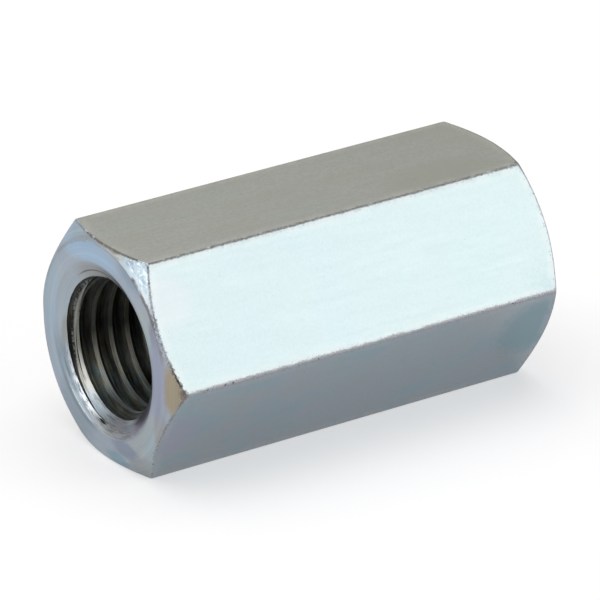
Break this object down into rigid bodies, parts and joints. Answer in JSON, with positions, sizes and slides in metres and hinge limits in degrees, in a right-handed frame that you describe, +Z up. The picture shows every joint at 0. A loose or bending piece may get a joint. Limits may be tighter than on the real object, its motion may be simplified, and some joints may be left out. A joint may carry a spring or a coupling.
{
  "type": "coupling nut",
  "caption": "Long hexagonal nut with a threaded through bore, countersunk and chamfered at both ends, which joins threaded rods end to end.",
  "frame": {"origin": "on the thread's axis, halfway along the nut", "axes": "+X along the thread's axis; +Z up, square to the flat that the nut lies on; corners of the hexagon at +Y and -Y"},
  "size_m": [0.048, 0.0276, 0.024],
  "materials": {
    "plated_steel": "bright zinc plating over drawn and turned steel, satin, with fine scratches and darker edges"
  },
  "bodies": {
    "root": {"coupling_nut": "plated_steel"}
  },
  "joints": []
}
